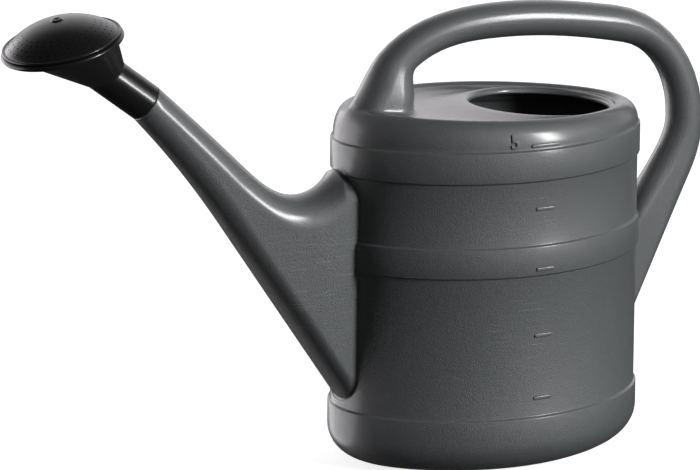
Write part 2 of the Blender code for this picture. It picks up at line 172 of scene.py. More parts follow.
def can_plastic():
    """Anthracite polyethylene: fine moulded grain, soft mottling, a parting line and a few scuffs."""
    material, place, shader = new_material("can_plastic", 0.4, Specular_IOR_Level=0.75, Coat_Weight=0.7,
                                           Coat_Roughness=0.23)
    grain = place.noise(1500, 3.0, 0.6)
    cloud = place.noise(22, 3.0)
    patch = place.noise(160, 2.0)
    streaks = place.node("ShaderNodeVectorMath", {"operation": 'MULTIPLY'},
                         {0: place, 1: (30.0, 30.0, 2400.0)}).noise(1.0, 4.0, 0.65)
    worn = None
    for centre, reach in SCUFFS:
        away = place.node("ShaderNodeVectorMath", {"operation": 'DISTANCE'}, {0: place, 1: centre}, 1)
        near = 1 - away.between(reach * 0.3, reach)
        worn = near if worn is None else worn + near
    scuff = streaks.between(0.61, 0.67) * worn
    tone = cloud.mix((0.072, 0.080, 0.082, 1), (0.084, 0.091, 0.093, 1))
    tone = (scuff * 0.5).mix(tone, (0.36, 0.37, 0.37, 1))
    across = place.node("ShaderNodeSeparateXYZ", None, {0: place}, 1)
    off_middle = across.node("ShaderNodeMath", {"operation": 'ABSOLUTE'}, {0: across})
    parting = 1 - off_middle.between(0.0001, 0.0005)
    relief = grain + patch * 0.35 + streaks * worn * 0.15 + parting * 0.9
    bump = relief.node("ShaderNodeBump", None, {"Strength": 1.0, "Distance": 0.0004, "Height": relief})
    feed(shader, Base_Color=tone, Roughness=0.4 + patch * 0.14 + grain * 0.06, Normal=bump)
    return material


CAN_PLASTIC = can_plastic()


def loft(name, rings, looped=False, poles=()):
    """Skin a row of rings with equal counts of points, closed on itself or with a fan at each pole."""
    mesh = bmesh.new()
    rows = [[mesh.verts.new(point) for point in ring] for ring in rings]
    pairs = list(zip(rows[:-1], rows[1:]))
    if looped:
        pairs.append((rows[-1], rows[0]))
    sides = len(rows[0])
    for low, high in pairs:
        for i in range(sides):
            j = (i + 1) % sides
            mesh.faces.new((low[i], low[j], high[j], high[i]))
    for row, pole in zip((rows[0], rows[-1]), poles):
        tip = mesh.verts.new(pole)
        for i in range(sides):
            mesh.faces.new((row[i], row[(i + 1) % sides], tip))
    bmesh.ops.recalc_face_normals(mesh, faces=mesh.faces)
    data = bpy.data.meshes.new(name)
    mesh.to_mesh(data)
    mesh.free()
    return data


def show(name, data, material, body, slot, *nodes, sharp=38):
    """Put a finished mesh in the scene as a piece that rides on a body and stands for its nodes."""
    piece = bpy.data.objects.new(name, data)
    bpy.context.scene.collection.objects.link(piece)
    data.materials.clear()
    data.materials.append(material)
    data.shade_smooth()
    data.set_sharp_from_angle(angle=math.radians(sharp))
    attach(piece, body)
    if nodes:
        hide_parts(*nodes)
    return piece


def ease(steps, first=0):
    """Shares of a smooth step from 0 to 1."""
    return [(i / steps, 0.5 - 0.5 * math.cos(math.pi * i / steps)) for i in range(first, steps + 1)]


def band_edge(height, side, wall, run):
    """A band's edge: from its proud face to the wall beside it, upwards (1) or downwards (-1)."""
    rows = [(wall - BAND_PROUD * (1 - fall), height + side * run * (along - 0.1), 0.0)
            for along, fall in ease(BAND_STEPS)]
    return rows if side > 0 else rows[::-1]


def profile(wall, run):
    """Rows of (inset, height, share of the top's slope) from the base to the sunk panel."""
    rows = [(BASE_ROUND + BASE_RIM + RECESS_RUN * (1 - along), wall + BASE_RECESS * (1 - fall), 0.0)
            for along, fall in ease(RECESS_STEPS)]
    for step in range(BASE_STEPS + 1):
        turn = math.radians(90 * step / BASE_STEPS)
        reach = BASE_ROUND * (1 - math.sin(turn)) - BAND_PROUD * math.sin(turn)
        height = BASE_ROUND * (1 - math.cos(turn)) + wall * math.cos(turn)
        rows.append((reach + wall * math.sin(turn), height, 0.0))
    rows += band_edge(BOTTOM_BAND_TOP, 1, wall, run)
    for low, high in (MIDDLE_BAND, TOP_BAND):
        rows += band_edge(low, -1, wall, run)
        rows += band_edge(high, 1, wall, run)
    start = rows[-1][1]
    for step in range(1, SHOULDER_STEPS + 1):
        turn = math.radians(90 * step / SHOULDER_STEPS)
        inset = SHOULDER_INSET * (1 - math.cos(turn)) + wall * math.cos(turn)
        rows.append((inset, start + (TANK_HEIGHT - wall - start) * math.sin(turn), math.sin(turn)))
    for along, fall in ease(PANEL_STEPS, 1):
        rows.append((SHOULDER_INSET + PANEL_RUN * along, TANK_HEIGHT - wall - PANEL_DROP * fall, 1.0))
    return rows


def tank_rings(wall, run):
    rings = []
    for inset, height, tilt in profile(wall, run):
        out = DRAFT * max(TOP_BAND[1] - height, 0) - inset
        ring = []
        for i in range(PLAN_POINTS):
            turn = 2 * math.pi * i / PLAN_POINTS
            lean = 1 - PLAN_PINCH * (1 - math.cos(4 * turn))
            x = (half_length + out) * math.cos(turn) * lean
            y = (half_width + out) * math.sin(turn) * lean
            ring.append(Vector((tank_x + x, y, height - tilt * TOP_SLOPE * x)))
        rings.append(ring)
    return rings


def mouth_ring(radius, drop):
    ring = []
    for i in range(PLAN_POINTS):
        turn = 2 * math.pi * i / PLAN_POINTS
        x = MOUTH_X + radius * math.cos(turn)
        height = TANK_HEIGHT - PANEL_DROP - drop - TOP_SLOPE * x
        ring.append(Vector((tank_x + x, radius * math.sin(turn), height)))
    return ring


def panel_rings(edge, lip, dish):
    """Rings across the panel to the mouth, dished between the two."""
    rings = []
    for share in PANEL_SHARES:
        sag = Vector((0, 0, -dish * math.sin(math.pi * share)))
        rings.append([start.lerp(end, share) + sag for start, end in zip(edge, lip)])
    return rings


def lip_rings():
    """The mouth's turned-down lip: over its outside, round its cut edge and back along its inside."""
    centre = MOUTH_RADIUS + LIP_ROUND
    bend = LIP_ROUND - WALL
    turns = [math.radians(90 / LIP_STEPS * k) for k in range(LIP_STEPS + 1)]
    edge_turns = [math.radians(180 / LIP_STEPS * k) for k in range(1, LIP_STEPS)]
    lip = [mouth_ring(centre - LIP_ROUND * math.sin(turn), LIP_ROUND * (1 - math.cos(turn)))
           for turn in turns]
    lip += [mouth_ring(MOUTH_RADIUS + WALL / 2 * (1 - math.cos(turn)), LIP_ROUND + WALL / 2 * math.sin(turn))
            for turn in edge_turns]
    lip += [mouth_ring(centre - bend * math.sin(turn), WALL + bend * (1 - math.cos(turn)))
            for turn in turns[::-1]]
    return lip


def tank_mesh():
    outside = tank_rings(0.0, BAND_EDGE)
    inside = tank_rings(WALL, INSIDE_BAND_EDGE)
    lip = lip_rings()
    rings = outside + panel_rings(outside[-1], lip[0], PANEL_DISH) + lip
    rings += panel_rings(inside[-1], lip[-1], PANEL_DISH)[::-1] + inside[::-1]
    poles = [(tank_x, 0, BASE_RECESS), (tank_x, 0, BASE_RECESS + WALL)]
    return loft("tank_shell", rings, poles=poles)


tank_data = tank_mesh()
tank_skin = BVHTree.FromPolygons([v.co.copy() for v in tank_data.vertices],
                                 [tuple(p.vertices) for p in tank_data.polygons])

# ---- Spout ----
# A tapering hollow blown with the tank: a round tube at its tip that deepens into a flat-sided web
# down the tank's front, with a small radius where it meets the tank. Past the rose's seat it steps in
# to a spigot with a groove for the seal ring.

SPOUT_SIDES = 144
SPOUT_STEPS = 12
SPOUT_WALL = 0.002
TIP_RADIUS = 0.0125
TIP_ROUND = 0.0008
SPOUT_ROOT_WIDTH = 0.0195
SPOUT_FILLET = 0.0016
FILLET_STEPS = 8
LEAST_FILLET = 0.0004
SPIGOT_RADIUS = 0.010
SPIGOT_BORE = 0.007
SPIGOT_LENGTH = 0.026
SPIGOT_ROUND = 0.001
SEAL_AT = 0.014
SEAL_THICKNESS = 0.0018
SEAL_RADIUS = 0.0103
SPOUT_TOP = ((-0.1774, 0.2076, -45), (-0.138, 0.1848, 0), (-0.1125, 0.1986, 57))
SPOUT_TOP_START = -43
SPOUT_BELOW_START = -47
SPOUT_BEND = (-0.194, 0.1715)
SPOUT_FOOT = (-0.108, 0.0437)
SUNK = 0.0003
CLEAR_OF_TANK = 0.12

tip = Vector(joints["rose_turn"]["pos_m"])
tip_axis = Vector(joints["rose_turn"]["axis"]).normalized()
tip_across = Vector((tip_axis.z, 0, -tip_axis.x))


def arc_between(start, end, steps):
    """Points and headings from one knot to the next, on the curve nearest to an arc."""
    a = Vector(start[:2])
    b = Vector(end[:2])
    turn = math.radians(max(abs((end[2] - start[2] + 180) % 360 - 180), 0.1))
    reach = (b - a).length * (4 / 3 * math.tan(turn / 4)) / (2 * math.sin(turn / 2))
    leave = a + reach * Vector((math.cos(math.radians(start[2])), math.sin(math.radians(start[2]))))
    arrive = b - reach * Vector((math.cos(math.radians(end[2])), math.sin(math.radians(end[2]))))
    run = []
    for i in range(steps):
        t = i / steps
        s = 1 - t
        point = a * s ** 3 + leave * 3 * s * s * t + arrive * 3 * s * t * t + b * t ** 3
        along = (leave - a) * s * s + (arrive - leave) * 2 * s * t + (b - arrive) * t * t
        run.append((point, along.normalized()))
    return run


def edge_line(knots, steps, inset):
    """An edge through its knots, moved by inset to the right of its heading."""
    run = []
    for start, end in zip(knots[:-1], knots[1:]):
        run += arc_between(start, end, steps)
    last = math.radians(knots[-1][2])
    run.append((Vector(knots[-1][:2]), Vector((math.cos(last), math.sin(last)))))
    return [point + inset * Vector((along.y, -along.x)) for point, along in run]


def section(top, below, width, sides):
    """A round-ended section between the two edges."""
    middle = (top + below) / 2
    half_height = (top - below).length / 2
    up = (top - below).normalized()
    flank = max(half_height - width, 0.0)
    end_radius = min(half_height, width)
    arc_share = 1.5 * math.pi * end_radius
    arc_share = arc_share / (arc_share + flank)
    ring = []
    for i in range(sides):
        side, place = divmod(i, sides // 4)
        u = place / (sides // 4)
        u = 1 - u if side % 2 else u
        turn = min(u / arc_share, 1.0) * math.pi / 2
        rise = end_radius * math.cos(turn) + flank
        if u > arc_share:
            rise = flank * (1 - u) / (1 - arc_share)
        rise = -rise if side in (1, 2) else rise
        point = middle + up * rise
        out = width * math.sin(turn) * (1 if side < 2 else -1)
        ring.append(Vector((tank_x + point.x, out, point.y)))
    return ring


def smooth_width(widths, place):
    """The half width at a place along the knots, on a curve through all of them."""
    k = min(int(place), len(widths) - 2)
    t = place - k
    before = widths[max(k - 1, 0)]
    after = widths[min(k + 2, len(widths) - 1)]
    a, b = widths[k], widths[k + 1]
    bend = 2 * before - 5 * a + 4 * b - after
    return a + 0.5 * t * (b - before + t * (bend + t * (3 * (a - b) + after - before)))


def branch(top_knots, below_knots, widths, steps, sides, inset=0.0):
    top = edge_line(top_knots, steps, inset)
    below = edge_line(below_knots, steps, -inset)
    return [section(high, low, smooth_width(widths, i / steps) - inset, sides)
            for i, (high, low) in enumerate(zip(top, below))]


def surface_below(point, heading):
    """Where a line through point along heading first meets the tank's outside."""
    start = point - heading * CLEAR_OF_TANK
    return tank_skin.ray_cast(start, heading)[0]


def skirt(ring, heading, radius, turns):
    """Rings that flare a branch's last section on to the tank with a fillet, the last one sunk in it."""
    centre = sum(ring, Vector()) / len(ring)
    rings = [[] for _ in turns]
    count = len(ring)
    for i, point in enumerate(ring):
        along = ring[(i + 1) % count] - ring[i - 1]
        along -= heading * along.dot(heading)
        outward = along.cross(heading).normalized()
        if outward.dot(point - centre) < 0:
            outward = -outward
        own_gap = (surface_below(point, heading) - point).dot(heading)
        rise = min(radius, max(own_gap, LEAST_FILLET))
        for row, turn in zip(rings, turns):
            side = point + outward * radius * (1 - math.cos(turn))
            row.append(surface_below(side, heading) - heading * rise * (1 - math.sin(turn)))
    sunk = [point + heading * SUNK for point in rings[-1]]
    return rings + [sunk]


def sunk_end(ring, heading):
    return [surface_below(point, heading) + heading * SUNK for point in ring]


def through_wall(ring, heading, depth):
    return [point + heading * depth for point in ring]


def fillet_turns():
    return [math.radians(90) * (k + 1) / FILLET_STEPS for k in range(FILLET_STEPS)]


def tip_ring(radius, along, sides):
    ring = []
    for i in range(sides):
        turn = 2 * math.pi * i / sides
        across = tip_across * math.cos(turn) + Vector((0, 1, 0)) * math.sin(turn)
        ring.append(tip + tip_axis * along + across * radius)
    return ring


def spout_rings(inset=0.0):
    ends = [tip + tip_across * side * TIP_RADIUS for side in (1, -1)]
    top = [(ends[0].x - tank_x, ends[0].z, SPOUT_TOP_START), *SPOUT_TOP]
    heading = math.degrees(math.atan2(SPOUT_FOOT[1] - SPOUT_BEND[1], SPOUT_FOOT[0] - SPOUT_BEND[0]))
    share = Vector(SPOUT_BEND).lerp(Vector(SPOUT_FOOT), 0.6)
    below = [(ends[1].x - tank_x, ends[1].z, SPOUT_BELOW_START), (*SPOUT_BEND, heading),
             (*share, heading), (*SPOUT_FOOT, heading)]
    middle = (TIP_RADIUS + SPOUT_ROOT_WIDTH) / 2
    widths = (TIP_RADIUS, middle, SPOUT_ROOT_WIDTH, SPOUT_ROOT_WIDTH)
    return branch(top, below, widths, SPOUT_STEPS, SPOUT_SIDES, inset)


def round_edge(corner, before, after, steps=3):
    """Profile points round a right-angled corner, from one leg to the other."""
    middle = (before[0] + after[0] - corner[0], before[1] + after[1] - corner[1])
    rows = []
    for k in range(steps + 1):
        turn = math.radians(90 * k / steps)
        rows.append(tuple(m + (b - m) * math.cos(turn) + (a - m) * math.sin(turn)
                          for m, b, a in zip(middle, before, after)))
    return rows


forward = Vector((1, 0, 0))
spout_outside = spout_rings()
spout_inside = spout_rings(SPOUT_WALL)
groove = SEAL_RADIUS - SEAL_THICKNESS - SUNK
spigot = round_edge((TIP_RADIUS, 0), (TIP_RADIUS, -TIP_ROUND), (TIP_RADIUS - TIP_ROUND, 0))
groove_start = SEAL_AT - SEAL_THICKNESS / 2 - SUNK
groove_end = SEAL_AT + SEAL_THICKNESS / 2 + SUNK
spigot += [(SPIGOT_RADIUS, 0), (SPIGOT_RADIUS, groove_start), (groove, groove_start)]
spigot += [(groove, groove_end), (SPIGOT_RADIUS, groove_end)]
spigot += round_edge((SPIGOT_RADIUS, SPIGOT_LENGTH), (SPIGOT_RADIUS, SPIGOT_LENGTH - SPIGOT_ROUND),
                     (SPIGOT_RADIUS - SPIGOT_ROUND, SPIGOT_LENGTH), 4)
spigot += [(SPIGOT_BORE, SPIGOT_LENGTH), (SPIGOT_BORE, 0.0)]
spout_skirt = skirt(spout_outside[-1], forward, SPOUT_FILLET, fillet_turns())
rings = spout_skirt[::-1] + spout_outside[:0:-1]
rings += [tip_ring(radius, along, SPOUT_SIDES) for radius, along in spigot]
rings += spout_inside[1:] + [sunk_end(spout_inside[-1], forward)]
spout_data = loft("spout", rings, looped=True)
show("spout", spout_data, CAN_PLASTIC, "can", "can_plastic", "spout")

# ---- Handle ----
# Blown with the tank too: a round hollow grip that rises from an oval foot on the shoulder, arches
# over the mouth and comes down into a deeper root on the tank's rear, so that the can both carries
# level and tips. Both ends flare into the tank.

HANDLE_SIDES = 96
HANDLE_STEPS = 10
HANDLE_WALL = 0.002
GRIP_WIDTH = 0.012
FOOT_WIDTH = 0.016
ROOT_WIDTH = 0.0135
FOOT_FILLET = 0.0045
ROOT_FILLET = 0.004
HANDLE_OUTER = ((-0.0995, 0.2395, 52), (-0.079, 0.2715, 46), (0.013, 0.2995, 0), (0.097, 0.2905, -10),
                (0.165, 0.207, -90), (0.1565, 0.172, -116), (0.109, 0.0765, -116))
HANDLE_INNER = ((-0.0565, 0.240, 74), (-0.054, 0.262, 36), (0.011, 0.276, 0), (0.1025, 0.265, -12),
                (0.140, 0.211, -90), (0.131, 0.1865, -122), (0.109, 0.1515, -122))


def handle_rings(inset=0.0):
    widths = (FOOT_WIDTH, GRIP_WIDTH, GRIP_WIDTH, GRIP_WIDTH, GRIP_WIDTH, GRIP_WIDTH, ROOT_WIDTH)
    return branch(HANDLE_OUTER, HANDLE_INNER, widths, HANDLE_STEPS, HANDLE_SIDES, inset)


down = Vector((0, 0, -1))
backward = Vector((-1, 0, 0))
handle_outside = handle_rings()
handle_inside = handle_rings(HANDLE_WALL)
foot_skirt = skirt(handle_outside[0], down, FOOT_FILLET, fillet_turns())
root_skirt = skirt(handle_outside[-1], backward, ROOT_FILLET, fillet_turns())
rings = foot_skirt[::-1] + handle_outside + root_skirt
rings += [sunk_end(handle_inside[-1], backward)] + handle_inside[::-1] + [sunk_end(handle_inside[0], down)]
handle_data = loft("handle", rings, looped=True)
show("handle", handle_data, CAN_PLASTIC, "can", "can_plastic", "handle")

# ---- Tank, open to its branches ----
# The spout and both ends of the handle are hollow and open to the tank, as the air in the mould left
# them, so their hollows are cut through the shell that was skinned above.

ROOT_DEPTH = 0.018
tank_piece = bpy.data.objects.new("tank_uncut", tank_data)
bpy.context.scene.collection.objects.link(tank_piece)
foot_hollow = [through_wall(handle_inside[0], down, ROOT_DEPTH)] + handle_inside[:4]
root_hollow = handle_inside[-4:] + [through_wall(handle_inside[-1], backward, ROOT_DEPTH)]
spout_hollow = spout_inside[-4:] + [through_wall(spout_inside[-1], forward, ROOT_DEPTH)]
cutters = []
for name, hollow in (("foot", foot_hollow), ("root", root_hollow), ("spout", spout_hollow)):
    ends = [sum(ring, Vector()) / len(ring) for ring in (hollow[0], hollow[-1])]
    cutter = bpy.data.objects.new(name + "_hollow", loft(name + "_hollow", hollow, poles=ends))
    bpy.context.scene.collection.objects.link(cutter)
    cut = tank_piece.modifiers.new(name, 'BOOLEAN')
    cut.operation = 'DIFFERENCE'
    cut.solver = 'EXACT'
    cut.object = cutter
    cutters.append(cutter)
bpy.context.view_layer.update()
finished = tank_piece.evaluated_get(bpy.context.evaluated_depsgraph_get())
tank_cut = bpy.data.meshes.new_from_object(finished)
for spent in (tank_piece, *cutters):
    bpy.data.objects.remove(spent, do_unlink=True)
show("tank", tank_cut, CAN_PLASTIC, "can", "can_plastic", "tank")

# ---- Litre marks ----
# Raised bars up one side of the tank, one to a litre, with a longer one and a figure at the fifth.
# They are cut into the mould, so they stand proud of the wall in the same plastic.

MARK_X = 0.001
MARKS = ((0.2196, 0.021), (0.1780, 0.0136), (0.1385, 0.0136), (0.0939, 0.0136), (0.0517, 0.0136))
MARK_HALF_HEIGHT = 0.0013
MARK_PROUD = 0.0008
MARK_SUNK = -0.0003
MARK_SIDES = 32
MARK_ROUNDING = ((1.0, 0.3), (0.8, 0.8), (0.6, 1.0), (0.3, 1.0))
FIGURE_X = -0.0205
FIGURE_Z = 0.2190
FIGURE_SIZE = 0.0120
FIGURE_BEVEL = 0.0003
FIGURE_PROUD = 0.0010
SAME_POINT = 0.000005


def on_side(x, height, proud):
    """A point on the tank's side that faces -Y, lifted off it by proud."""
    clear_of_tank = Vector((tank_x + x, -0.2, height))
    place, normal = tank_skin.ray_cast(clear_of_tank, Vector((0, 1, 0)))[:2]
    return place + normal * proud


def slot_ring(length, end, radius, sides, place):
    """A long ring with round ends, each of its points put in place by place(along, up)."""
    ring = []
    for i in range(sides):
        turn = 2 * math.pi * (i + 0.5) / sides
        reach = (length / 2 - end) * (1 if math.cos(turn) > 0 else -1)
        ring.append(place(reach + radius * math.cos(turn), radius * math.sin(turn)))
    return ring


def mark_mesh(height, length):
    rings = []
    lifts = [(1.0, MARK_SUNK)] + [(share, rise * MARK_PROUD) for share, rise in MARK_ROUNDING]
    for share, lift in lifts:
        rings.append(slot_ring(length, MARK_HALF_HEIGHT, MARK_HALF_HEIGHT * share, MARK_SIDES,
                               lambda x, z: on_side(MARK_X + x, height + z, lift)))
    middle = [on_side(MARK_X, height, lift) for lift in (MARK_SUNK, MARK_PROUD)]
    return loft("mark", rings, poles=middle)


marks = bmesh.new()
for height, length in MARKS:
    marks.from_mesh(mark_mesh(height, length))
figure = bpy.data.curves.new("figure", 'FONT')
figure.body = "5"
figure.size = FIGURE_SIZE
figure.extrude = FIGURE_PROUD - FIGURE_BEVEL
figure.bevel_depth = FIGURE_BEVEL
figure.align_x = 'CENTER'
text = bpy.data.objects.new("figure", figure)
bpy.context.scene.collection.objects.link(text)
bpy.context.view_layer.update()
finished = text.evaluated_get(bpy.context.evaluated_depsgraph_get())
figure_data = bpy.data.meshes.new_from_object(finished)
bpy.data.objects.remove(text, do_unlink=True)
for vertex in figure_data.vertices:
    vertex.co = on_side(FIGURE_X + vertex.co.x, FIGURE_Z + vertex.co.y, vertex.co.z)
figures = bmesh.new()
figures.from_mesh(figure_data)
bmesh.ops.remove_doubles(figures, verts=figures.verts, dist=SAME_POINT)
bmesh.ops.recalc_face_normals(figures, faces=figures.faces)
figures.to_mesh(figure_data)
marks.from_mesh(figure_data)
marks_data = bpy.data.meshes.new("litre_marks")
marks.to_mesh(marks_data)
show("litre_marks", marks_data, CAN_PLASTIC, "can", "can_plastic")

# ---- Pinch-off seam ----
# The mould nips the parison shut under the base, which leaves a low ridge along the sunk floor.

SEAM_LENGTH = 0.118
SEAM_SIDES = 48
SEAM_PROFILE = ((0.0009, 0.0002), (0.0006, -0.0005), (0.0002, -0.0008))
rings = [slot_ring(SEAM_LENGTH, width, width, SEAM_SIDES, lambda x, y: (tank_x + x, y, BASE_RECESS + rise))
         for width, rise in SEAM_PROFILE]
poles = [(tank_x, 0, BASE_RECESS + SEAM_PROFILE[0][1]), (tank_x, 0, BASE_RECESS + SEAM_PROFILE[-1][1])]
show("pinch_seam", loft("pinch_seam", rings, poles=poles), CAN_PLASTIC, "can", "can_plastic")

# ---- Seal ring ----
# A black rubber ring that lies in the spigot's groove and grips the rose's socket.

SEAL_STEPS = 16
SEAL_SIDES = 64


def seal_rubber():
    material, place, shader = new_material("seal_rubber", 0.6, Specular_IOR_Level=0.4)
    bloom = place.noise(420, 3.0)
    feed(shader, Base_Color=bloom.mix((0.012, 0.012, 0.013, 1), (0.035, 0.035, 0.036, 1)),
         Roughness=0.5 + bloom * 0.25)
    return material


rings = []
for k in range(SEAL_STEPS):
    turn = 2 * math.pi * k / SEAL_STEPS
    radius = SEAL_RADIUS - SEAL_THICKNESS / 2 * (1 - math.cos(turn))
    rings.append(tip_ring(radius, SEAL_AT + SEAL_THICKNESS / 2 * math.sin(turn), SEAL_SIDES))
seal_data = loft("rose_seal", rings, looped=True)
show("rose_seal", seal_data, seal_rubber(), "seal_ring", "seal_rubber", "rose_seal")

# ---- Rose housing ----
# Injection-moulded in glossy black: a socket that pushes on the spigot, a funnel set at an angle to
# it, and a round bead at its rim. The plate stands on a ledge inside the bead.

ROSE_SIDES = 128
FACE_DISTANCE = 0.0695
SOCKET_LENGTH = 0.0331
SOCKET_BORE = 0.0106
ROSE_WALL = 0.0018
RIM_RADIUS = 0.0387
RIM_LOW = -0.003
RIM_TOP = 0.0005
FUNNEL_RADIUS = 0.032
FUNNEL_SHIFT = 0.002
PLATE_FIT = 0.0346
PLATE_LEDGE = 0.0012
SOCKET_CHAMFER = 0.0003
RIM_CHAMFER = 0.0002
RIM_STEPS = 12
SOCKET_SHARES = (0.3, 0.6, 0.85, 0.96)
FUNNEL_SHARES = (0.04, 0.15, 0.4, 0.7, 0.95)

face_axis = Vector(joints["plate_pull"]["axis"]).normalized()
face_centre = tip + tip_axis * FACE_DISTANCE
face_tilt = tip_axis.angle(face_axis)
socket_across = (face_axis - tip_axis * face_axis.dot(tip_axis)).normalized()
rose_side = tip_axis.cross(socket_across)
face_across = rose_side.cross(face_axis)


def face_ring(radius, along, shift=0.0):
    ring = []
    for i in range(ROSE_SIDES):
        turn = 2 * math.pi * i / ROSE_SIDES
        flat = face_across * (shift + radius * math.cos(turn)) + rose_side * radius * math.sin(turn)
        ring.append(face_centre + flat + face_axis * along)
    return ring


def socket_ring(radius, along, mitre=0.0):
    ring = []
    for i in range(ROSE_SIDES):
        turn = 2 * math.pi * i / ROSE_SIDES
        x = radius * math.cos(turn)
        flat = socket_across * x + rose_side * radius * math.sin(turn)
        ring.append(tip + flat + tip_axis * (along - x * math.tan(mitre)))
    return ring


def rose_plastic():
    """Glossy black with a faint orange peel, fine specks of dust and light handling wear."""
    material, place, shader = new_material("rose_plastic", 0.25, Specular_IOR_Level=0.3, Coat_Roughness=0.1)
    peel = place.noise(900, 2.0)
    smear = place.noise(70, 3.0)
    dust = place.noise(2600, 2.0, 0.7).between(0.6, 0.72)
    tone = (dust * 0.12).mix((0.0085, 0.0085, 0.0092, 1), (0.12, 0.12, 0.12, 1))
    relief = peel + smear * 1.5
    bump = peel.node("ShaderNodeBump", None, {"Strength": 0.16, "Distance": 0.0002, "Height": relief})
    feed(shader, Base_Color=tone, Roughness=0.24 + smear * 0.16 + dust * 0.1,
         Coat_Weight=0.25 - dust * 0.1, Normal=bump)
    return material


ROSE_PLASTIC = rose_plastic()


def between_rings(low, high, shares):
    return [[a.lerp(b, share) for a, b in zip(low, high)] for share in shares]


mitre = face_tilt / 2
bead = (RIM_TOP - RIM_LOW) / 2
seat = socket_ring(TIP_RADIUS, SOCKET_LENGTH, mitre)
mouth = face_ring(FUNNEL_RADIUS, RIM_LOW, FUNNEL_SHIFT)
rings = [socket_ring(TIP_RADIUS - SOCKET_CHAMFER, SUNK), socket_ring(TIP_RADIUS, SUNK + SOCKET_CHAMFER)]
rings += between_rings(rings[-1], seat, SOCKET_SHARES) + [seat]
rings += between_rings(seat, mouth, FUNNEL_SHARES) + [mouth]
for k in range(RIM_STEPS + 1):
    turn = math.radians(-90 + 180 * k / RIM_STEPS)
    radius = RIM_RADIUS - bead + bead * math.cos(turn)
    rings.append(face_ring(radius, (RIM_TOP + RIM_LOW) / 2 + bead * math.sin(turn)))
rings += [face_ring(PLATE_FIT + RIM_CHAMFER, RIM_TOP), face_ring(PLATE_FIT, RIM_TOP - RIM_CHAMFER)]
funnel_bore = FUNNEL_RADIUS - ROSE_WALL
rings += [face_ring(PLATE_FIT, -PLATE_LEDGE), face_ring(funnel_bore, -PLATE_LEDGE, FUNNEL_SHIFT)]
inner_mouth = face_ring(funnel_bore, RIM_LOW, FUNNEL_SHIFT)
inner_seat = socket_ring(SOCKET_BORE, SOCKET_LENGTH, mitre)
rings += [inner_mouth] + between_rings(inner_mouth, inner_seat, (0.5,))
rings += [inner_seat, socket_ring(SOCKET_BORE, SUNK)]
housing_data = loft("rose_housing", rings, looped=True)
show("rose_housing", housing_data, ROSE_PLASTIC, "rose", "rose_plastic", "rose_housing")

# ---- Rose plate ----
# A domed plate pressed into the housing, with rings of fine spray holes towards its edge, a small
# pip where it was gated, and a bead that sits on the housing's. The holes are cut as in the real one.

PLATE_RADIUS = 0.0376
PLATE_BEAD = 0.0009
PLATE_SEAT = 0.0008
DOME_RADIUS = 0.0354
DOME_RISE = 0.013
PLATE_WALL = 0.0018
PLATE_SKIRT = 0.0017
PIP_RADIUS = 0.0034
PIP_RISE = 0.0008
PIP_PROFILE = ((0.0007, 0.7), (0.0014, 0.2), (0.0021, 0.95))
PIP_EDGE = 0.0004
CROWN_RADIUS = 0.002
DOME_STEPS = 28
UNDER_STEPS = 12
BEAD_STEPS = 8
DRILL_DEPTH = 0.05
HOLE_RADIUS = 0.00048
HOLE_RINGS = ((0.0328, 44), (0.0296, 40), (0.0264, 36), (0.0230, 30))


def dome_line(radius, height, rise, steps, first=0.0):
    """A spherical cap's arc from a radius of first down to its edge."""
    sphere = (radius ** 2 + rise ** 2) / (2 * rise)
    start = math.asin(first / sphere)
    sweep = math.asin(radius / sphere)
    line = []
    for i in range(steps + 1):
        turn = start + (sweep - start) * i / steps
        line.append((sphere * math.sin(turn), height + rise - sphere * (1 - math.cos(turn))))
    return line


plate_top = PLATE_SEAT + 2 * PLATE_BEAD
peak = plate_top + DOME_RISE
line = [(radius, peak + PIP_RISE * rise) for radius, rise in PIP_PROFILE]
line += [(PIP_RADIUS - PIP_EDGE, peak + PIP_RISE * 0.9), (PIP_RADIUS, peak + PIP_RISE * 0.3)]
line += dome_line(DOME_RADIUS, plate_top, DOME_RISE, DOME_STEPS, PIP_RADIUS + PIP_EDGE)
line += [(DOME_RADIUS + 0.0003, plate_top - 0.0004), (DOME_RADIUS + 0.0009, plate_top - 0.0003)]
for k in range(BEAD_STEPS + 1):
    turn = math.radians(90 - 180 / BEAD_STEPS * k)
    line.append((PLATE_RADIUS - PLATE_BEAD + PLATE_BEAD * math.cos(turn),
                 PLATE_SEAT + PLATE_BEAD + PLATE_BEAD * math.sin(turn)))
skirt_radius = PLATE_FIT - SUNK
line += [(skirt_radius, PLATE_SEAT), (skirt_radius, PLATE_SEAT - PLATE_SKIRT)]
line += [(skirt_radius - PLATE_WALL, PLATE_SEAT - PLATE_SKIRT)]
under_rise = peak - PLATE_WALL - PLATE_SEAT
under = dome_line(skirt_radius - PLATE_WALL, PLATE_SEAT, under_rise, UNDER_STEPS, CROWN_RADIUS)
line += under[::-1]
rings = [face_ring(radius, along) for radius, along in line]
poles = [face_centre + face_axis * (peak + PIP_RISE), face_centre + face_axis * (peak - PLATE_WALL)]
plate_data = loft("rose_plate", rings, poles=poles)


